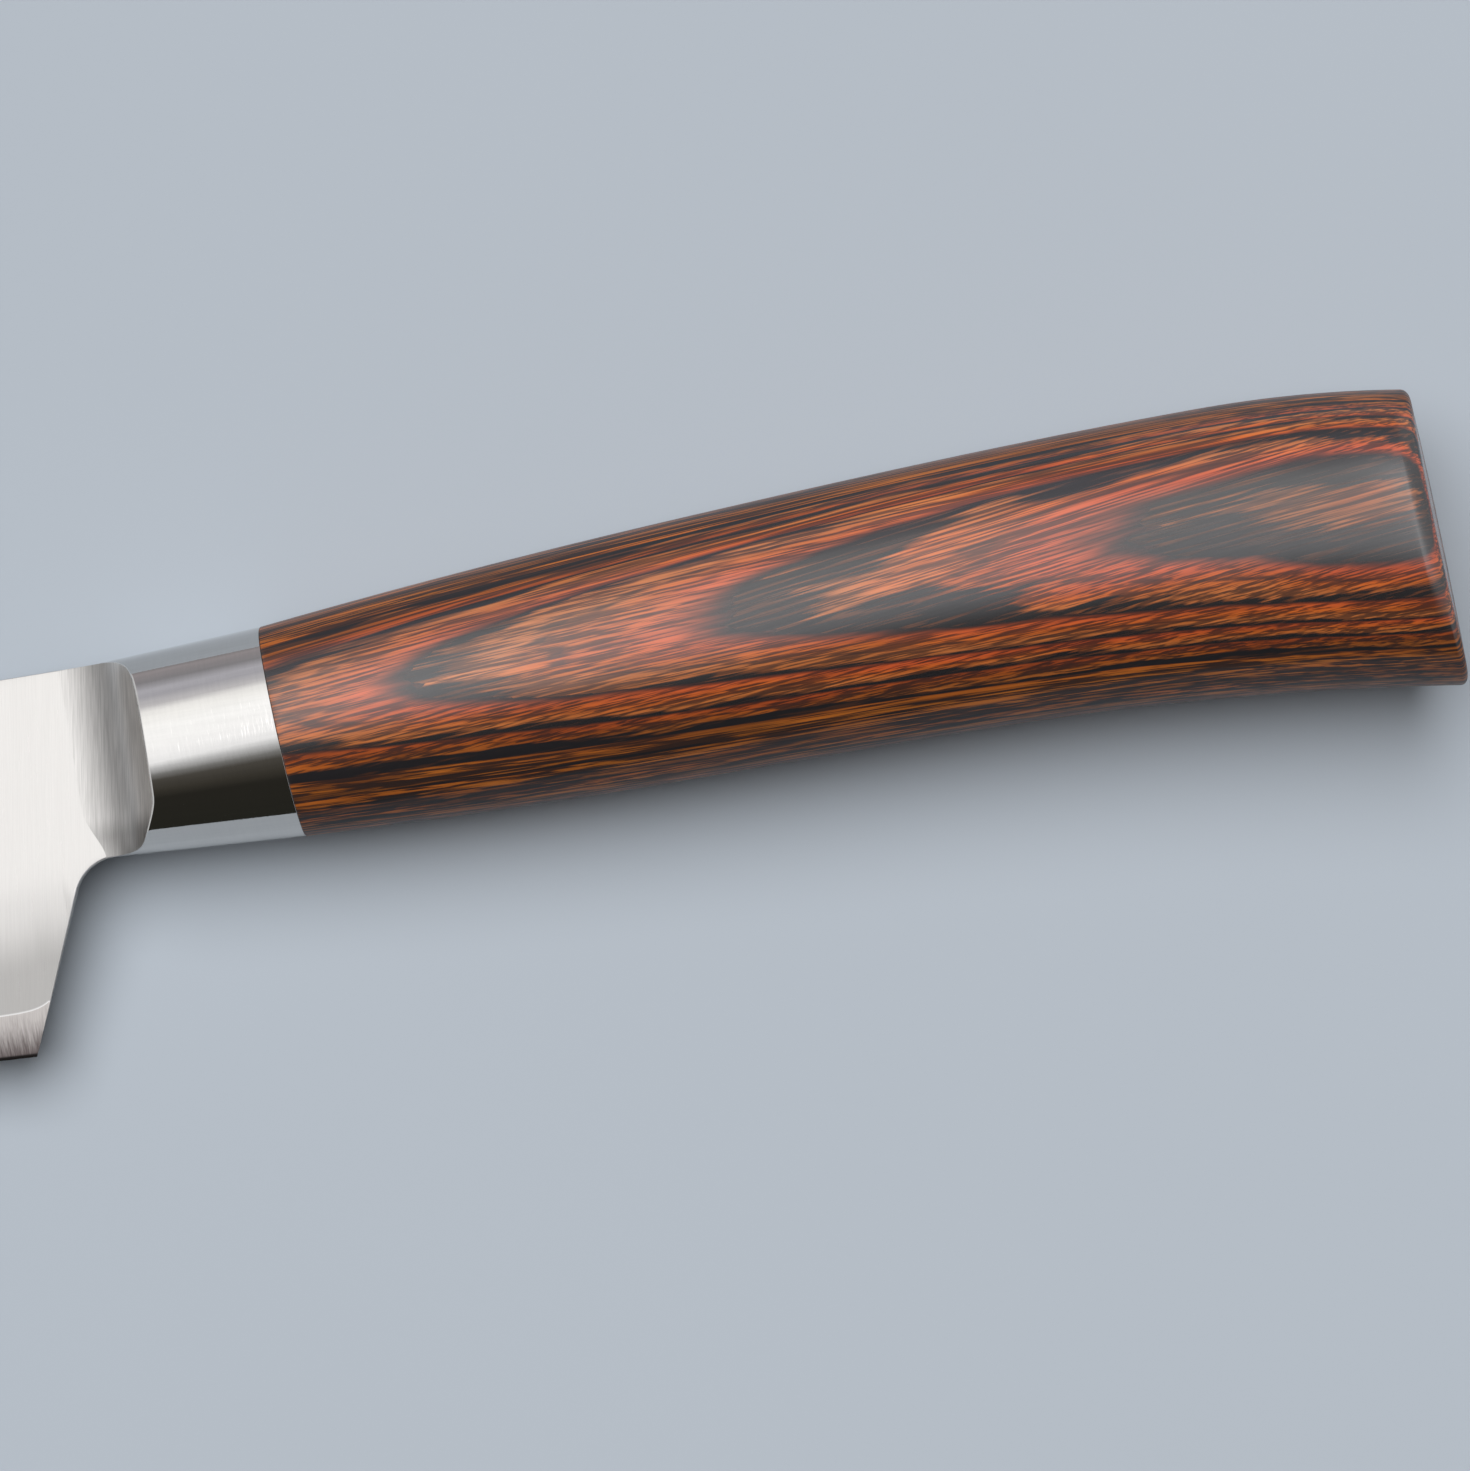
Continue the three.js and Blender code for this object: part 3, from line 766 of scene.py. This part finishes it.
def blade_lines(own, bolster):
    """The blade seen from its side: lower and upper line, station by station, closer together by the tip.
    From the tip to the heel the lower line is the edge, a cubic curve, as the spine is. Behind the heel it
    climbs the heel's back and its round and runs on under the bolster, and the last stations are the stub."""
    front = -bolster.length
    shoulder = front + bolster.blade_seat
    heel = np.array([front - own.heel_reach, -own.heel_drop])
    tip = np.array([front - own.length, -own.tip_drop])
    climb, slant = tan(own.edge_rise), own.heel_slant
    t = np.linspace(0, 1, EDGE_STATIONS) ** TIP_CROWDING
    edge = bezier(
        [
            tip,
            tip + [own.belly_length, -own.belly_drop],
            heel + [-own.edge_straight, climb * own.edge_straight],
            heel,
        ],
        t,
    )
    spine_end = np.array([heel[0], own.spine_rise])
    spine = bezier(
        [
            tip + [0, own.tip_land],
            tip + [own.spine_fall_length, own.spine_fall],
            spine_end - [own.spine_straight, 0],
            spine_end,
        ],
        t,
    )
    under = -bolster.front_height / 2
    turn = pi / 2 - slant
    setback = own.heel_fillet * tan(turn / 2)
    corner = np.array([heel[0] + (under - heel[1]) * tan(slant), under])
    start = corner - setback * np.array([sin(slant), cos(slant)])
    swing = np.linspace(turn, 0, FILLET_STATIONS)
    centre = np.array([corner[0] + setback, under - own.heel_fillet])
    fillet = centre + own.heel_fillet * np.stack([-np.sin(swing), np.cos(swing)], -1)
    back = np.linspace(heel, start, BACK_STATIONS)[1:]
    seat = np.linspace(fillet[-1], [shoulder, under], SEAT_STATIONS)[1:]
    low = np.concatenate([back, fillet[1:], seat])
    high = np.stack([low[:, 0], np.full(len(low), own.spine_rise)], -1)
    stub = own.stub_height / 2
    stub_x = np.array([shoulder, STUB_REACH])
    lower = np.concatenate([edge, low, np.stack([stub_x, [-stub, -stub]], -1)])
    upper = np.concatenate([spine, high, np.stack([stub_x, [stub, stub]], -1)])
    edge_below = np.concatenate([edge[:, 1], heel[1] - climb * (low[:, 0] - heel[0]), [heel[1]] * 2])
    flat_end = heel[0] - own.flat_length
    thinned = np.clip((flat_end - lower[:, 0]) / (flat_end - tip[0]), 0, 1)
    half = own.thickness / 2 + (own.tip_thickness - own.thickness) / 2 * thinned
    behind = np.arange(len(lower)) >= len(edge)
    return lower, upper, lower[:, 1] - edge_below, half, behind


def blade_layers(own, bolster):
    """Rings of the core and of one cladding layer, with marks. Each station runs from the lower to the upper
    line. Half the thickness grows with the height above the edge: the cutting bevel, the core's bevel up to
    the line, a straight wedge and then the flat, with small rounds at the spine and the heel's back."""
    lower, upper, lift, half, behind = blade_lines(own, bolster)
    tall = np.linalg.norm(upper - lower, axis=-1)
    core = own.core / 2
    past_heel = (lower[:, 0] + bolster.length + own.heel_reach) / own.line_sweep_run
    line = own.line_height + own.line_sweep * np.exp(np.minimum(past_heel, 1.5) - 1)
    # Shares of the height keep the parts in order where the blade gets low by the tip
    line = np.where(behind, line, np.minimum(line, tall / 3))
    line_up = np.clip(line - lift, 0, tall / 2)
    cut = np.minimum(own.cut_height, line / 4)
    # The spine's round fades out where the hollow begins
    to_ramp = np.clip((-bolster.length - bolster.ramp_radius - upper[:, 0]) / bolster.ramp_radius, 0, 1)
    ease = np.minimum(own.spine_ease, tall / 6) * (0.15 + 0.85 * to_ramp)
    body_up = tall - ease
    heel_ease = np.minimum(own.heel_ease, (body_up - line_up) / 6)[:, None]
    quarter = np.linspace(0, pi / 2, QUARTER_STEPS)[1:]
    by_edge = [0, 0.015, 0.03, 0.05, 0.08]
    low_part = line_up[:, None] * np.concatenate([by_edge, np.linspace(0.12, 1, BEVEL_STEPS)])
    back_part = line_up[:, None] + heel_ease * (1 - np.cos(quarter))
    face = body_up[:, None] - back_part[:, -1:]
    high_part = back_part[:, -1:] + face * np.linspace(0, 1, FACE_STEPS)[1:]
    top_part = body_up[:, None] + ease[:, None] * np.sin(quarter)
    up = np.concatenate([low_part, back_part, high_part, top_part], 1)
    above = up + lift[:, None]
    line_, cut_, half_ = line[:, None], cut[:, None], half[:, None]
    cut_side = np.minimum(cut_ * tan(own.cut_angle), core / 2)
    keen = KEEN_HALF + above / cut_ * cut_side
    steep = cut_side + (core - cut_side) * (above - cut_) / (line_ - cut_)
    grind = np.minimum(own.grind_height, np.maximum(tall * 2 / 3, line * 1.2))[:, None]
    wide = core + (half_ - core) * (above - line_) / (grind - line_)
    side = np.where(above < line_, np.minimum(keen, steep), blend_down(wide, half_, WEDGE_ROUND))
    spine_gap = np.maximum(ease[:, None] - (tall[:, None] - up), 0)
    side = side - (ease[:, None] - np.sqrt(np.maximum(ease[:, None] ** 2 - spine_gap**2, 0)))
    clad_share = np.clip((side[:, :1] - core) / (half_ - core), 0, 1)
    heel_round = np.where(behind[:, None], heel_ease * clad_share, 0)
    heel_gap = np.clip(1 - up / heel_ease, 0, 1)
    side = side - heel_round * (1 - np.sqrt(1 - heel_gap**2))
    flat = lower[:, None, :] + (upper - lower)[:, None, :] * (up / tall[:, None])[..., None]

    def ring(top_flat, top_z, low_flat, low_z):
        """Stations closed to rings: down the left side and up the right one."""
        left = np.concatenate([top_flat, top_z[..., None]], -1)[:, ::-1]
        right = np.concatenate([low_flat, low_z[..., None]], -1)
        return np.concatenate([left, right], 1)

    def both_sides(mark):
        """A mark in the order of a ring's points."""
        return np.concatenate([mark[:, ::-1], mark], 1)

    inner = np.minimum(side, core)
    core_rings = ring(flat, inner, flat, -inner)
    up_bevel = np.where(above < line_, above / line_, 1.0)
    start = low_part.shape[1] - 1
    outer_flat, outer = flat[:, start:], np.maximum(side[:, start:], core)
    left_rings = ring(outer_flat, outer, outer_flat, np.full_like(outer, core))
    over = (above[:, start:] - line_) / MM
    return core_rings, both_sides(up_bevel), left_rings, both_sides(over)


class KNIFE_OT_blade(Operator):
    """Builds the blade's core and its two cladding layers."""

    bl_idname = "knife.blade"
    bl_label = "Blade"

    def execute(self, context):
        own = settings()
        core, up_bevel, left, over = blade_layers(own.blade, own.bolster)
        cladding = [cladding_surface(own.steel)]
        middle = [core_surface(own.steel)]
        marks = {"up_bevel": up_bevel}
        make_piece("core_layer", core, ["blade_core"], middle, marks=marks)
        marks = {"above_line": over}
        make_piece("left_cladding", left, ["cladding_left"], cladding, marks=marks)
        right = (left * [1, 1, -1])[:, ::-1]
        marks = {"above_line": over[:, ::-1]}
        make_piece("right_cladding", right, ["cladding_right"], cladding, marks=marks)
        return {"FINISHED"}


class KNIFE_OT_bolster(Operator):
    """Builds the bolster with its polished oval and brushed hollow."""

    bl_idname = "knife.bolster"
    bl_label = "Bolster"

    def execute(self, context):
        own = settings()
        rings, kinds = bolster_rings(own.bolster, own.handle, own.blade.thickness / 2)
        finishes = [polished_surface(own.steel), ramp_surface(own.steel)]
        make_piece("oval_bolster", rings, ["bolster"], finishes, kinds=kinds)
        return {"FINISHED"}


class KNIFE_OT_handle(Operator):
    """Builds the laminated wood handle."""

    bl_idname = "knife.handle"
    bl_label = "Handle"

    def execute(self, context):
        own = settings()
        rings = handle_rings(own.handle)
        make_piece("wood_handle", rings, ["handle"], [wood_surface(own.wood)])
        return {"FINISHED"}


class KNIFE_OT_tang(Operator):
    """Finishes the tang, its weld and the resin, which stay as packed."""

    bl_idname = "knife.tang"
    bl_label = "Tang"

    def execute(self, context):
        steel = settings().steel
        finishes = {
            "tang_bar": hidden_surface("tang_steel", steel.hidden, 0.45, 1.0),
            "tang_weld": hidden_surface("weld_metal", steel.weld, 0.6, 1.0),
            "tang_resin": hidden_surface("cured_resin", steel.resin, 0.35, 0.0),
        }
        for name, material in finishes.items():
            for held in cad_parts[name].material_slots:
                held.material = material
        return {"FINISHED"}


def floor_mesh(reach, tip, joint):
    """A square that passes through two points of the knife's underside and lies level across the knife."""
    slope = (joint[2] - tip[2]) / (joint[0] - tip[0])
    corners = np.array([(-reach, -reach), (reach, -reach), (reach, reach), (-reach, reach)])
    z = joint[2] + slope * (corners[:, 0] - joint[0])
    mesh = bpy.data.meshes.new("floor")
    mesh.from_pydata(np.column_stack([corners, z]), [], [(0, 1, 2, 3)])
    return mesh


def room_light(world, look):
    """The room as the polished steel shows it, over the angle from straight up towards the spine's side: a
    dark screen on the edge's side, a soft light overhead and a grey wall behind the spine. Grey walls close
    it towards tip and butt, each with a small lamp in front. A level is an angle in degrees with its red,
    green and blue."""
    world.use_nodes = True
    tree = world.node_tree
    tree.nodes.clear()
    towards = Wire(tree.nodes.new("ShaderNodeTexCoord").outputs["Generated"])
    x = towards.node("ShaderNodeSeparateXYZ", {}, {0: towards})
    y, z = x.other(1), x.other(2)
    to_spine = y.math("ARCTAN2", y, z)
    levels = [
        (-90, 0.016, 0.016, 0.013),
        (-48, 0.018, 0.017, 0.014),
        (-40, 0.036, 0.033, 0.027),
        (-30, 0.06, 0.056, 0.049),
        (-25, 0.17, 0.17, 0.168),
        (-19, 0.48, 0.488, 0.5),
        (-14, 0.81, 0.82, 0.84),
        (-4, 0.9, 0.908, 0.925),
        (4, 0.945, 0.955, 0.965),
        (13, 0.87, 0.875, 0.87),
        (18, 0.79, 0.79, 0.79),
        (24, 0.5, 0.495, 0.515),
        (36, 0.35, 0.35, 0.385),
        (45, 0.385, 0.385, 0.425),
        (61, 0.21, 0.205, 0.22),
        (82, 0.265, 0.245, 0.258),
        (90, 0.21, 0.2, 0.21),
    ]
    stops = [(0.5 + degrees / 180, colour) for degrees, *colour in levels]
    room = to_spine.node("ShaderNodeValToRGB", {"stops": stops}, {"Fac": to_spine / pi + 0.5})
    high_wall = (0.71, 0.715, 0.725)
    low_wall = (0.165, 0.167, 0.172)
    side_wall = (0.5, 0.505, 0.515)
    beside_screen = (0.45, 0.455, 0.465)
    butt_lamp = (1.6, 1.62, 1.65)
    tip_lamp = (1.4, 1.41, 1.42)
    by_tip_wall = x.step(-0.38, -0.98).mix(high_wall, low_wall)
    walls = (abs(y).step(0.2, 0.5) + x.step(0.0, 0.3)).mix(by_tip_wall, side_wall)
    room = (x.step(-0.25, -0.38) + x.step(0.3, 0.44)).mix(room, walls)
    past_screen = abs(x + 0.2).step(0.36, 0.5) * (1.0 - to_spine.step(radians(-30), radians(-14)))
    room = past_screen.mix(room, beside_screen)
    by_butt = x.step(0.15, 0.21) * (1.0 - x.step(0.27, 0.36)) * (1.0 - abs(y).step(0.2, 0.6))
    room = by_butt.mix(room, butt_lamp)
    by_tip = x.step(-0.18, -0.14) * (1.0 - x.step(-0.11, -0.06)) * (1.0 - abs(y).step(0.06, 0.22))
    room = by_tip.mix(room, tip_lamp)
    light = towards.node("ShaderNodeBackground", {}, {"Color": room, "Strength": look.ceiling})
    pale = towards.node("ShaderNodeBackground", {}, {"Color": (*look.floor, 1.0), "Strength": 1.0})
    seen = towards.node("ShaderNodeLightPath", {}, {}, output="Is Camera Ray")
    both = towards.node("ShaderNodeMixShader", {}, {0: seen, 1: light, 2: pale})
    towards.node("ShaderNodeOutputWorld", {}, {"Surface": both})
    world.cycles_visibility.diffuse = False


class KNIFE_OT_stage(Operator):
    """Lays the floor, lights the room and sets the camera."""

    bl_idname = "knife.stage"
    bl_label = "Stage"

    def execute(self, context):
        own = settings()
        scene = context.scene
        look, blade, handle = own.stage, own.blade, own.handle
        tip = AXIS + [-own.bolster.length - blade.length, 0, -blade.tip_thickness / 2]
        joint = AXIS + [0, 0, -handle.joint_thickness / 2]
        floor = bpy.data.objects.new("floor", floor_mesh(FLOOR_REACH, tip, joint))
        scene.collection.objects.link(floor)

        def recipe(x, y, z):
            cloud = x.stretch(x * 0.01, y * 0.01, z * 0.01).noise(2.0)
            return {"Base Color": cloud.step(0.2, 0.8, 0.99, 1.01).shade(look.floor), "Roughness": 0.7}

        floor.data.materials.append(surface("plain_floor", recipe))
        scene.world = bpy.data.worlds.new("room")
        room_light(scene.world, look)
        lamp = bpy.data.lights.new("lamp", "SUN")
        lamp.energy = look.lamp
        lamp.angle = look.lamp_spread
        light = bpy.data.objects.new("lamp", lamp)
        light.rotation_euler = LAMP_FROM.to_track_quat("Z", "Y").to_euler()
        light.visible_glossy = False
        scene.collection.objects.link(light)
        eye = bpy.data.cameras.new("camera")
        eye.lens = eye.sensor_width * look.view_height / look.view_width
        eye.clip_start, eye.clip_end = CAMERA_REACH
        camera = bpy.data.objects.new("camera", eye)
        camera.location = AXIS + [look.view_x, -look.view_y, look.view_height]
        camera.rotation_euler = (0.0, 0.0, -look.view_turn)
        scene.collection.objects.link(camera)
        scene.camera = camera
        scene.view_settings.view_transform = "Standard"
        return {"FINISHED"}


class KNIFE_PT_panel(Panel):
    """Lists the steps and the values that can be changed."""

    bl_idname = "KNIFE_PT_panel"
    bl_label = "Petty knife"
    bl_space_type = "VIEW_3D"
    bl_region_type = "UI"
    bl_category = "Knife"

    def draw(self, context):
        for step in STEPS:
            self.layout.operator(step.bl_idname)
        own = context.scene.petty_knife
        for group in (own.blade, own.bolster, own.handle, own.wood, own.steel, own.stage):
            column = self.layout.column()
            for name in group.bl_rna.properties.keys():
                if name not in {"rna_type", "name"}:
                    column.prop(group, name)


STEPS = (KNIFE_OT_blade, KNIFE_OT_bolster, KNIFE_OT_handle, KNIFE_OT_tang, KNIFE_OT_stage)
GROUPS = (BladeSizes, BolsterSizes, HandleSizes, WoodFinish, SteelFinish, StageLook, KnifeSettings)
CLASSES = (*GROUPS, *STEPS, KNIFE_PT_panel)


def register():
    """Makes the classes and the scene's values known to Blender."""
    for item in CLASSES:
        bpy.utils.register_class(item)
    bpy.types.Scene.petty_knife = PointerProperty(type=KnifeSettings)


def unregister():
    """Takes them away again."""
    del bpy.types.Scene.petty_knife
    for item in reversed(CLASSES):
        bpy.utils.unregister_class(item)


def main():
    """Builds the pieces and the stage."""
    register()
    bpy.ops.knife.blade()
    bpy.ops.knife.bolster()
    bpy.ops.knife.handle()
    bpy.ops.knife.tang()
    bpy.ops.knife.stage()


if __name__ == "__main__":
    main()
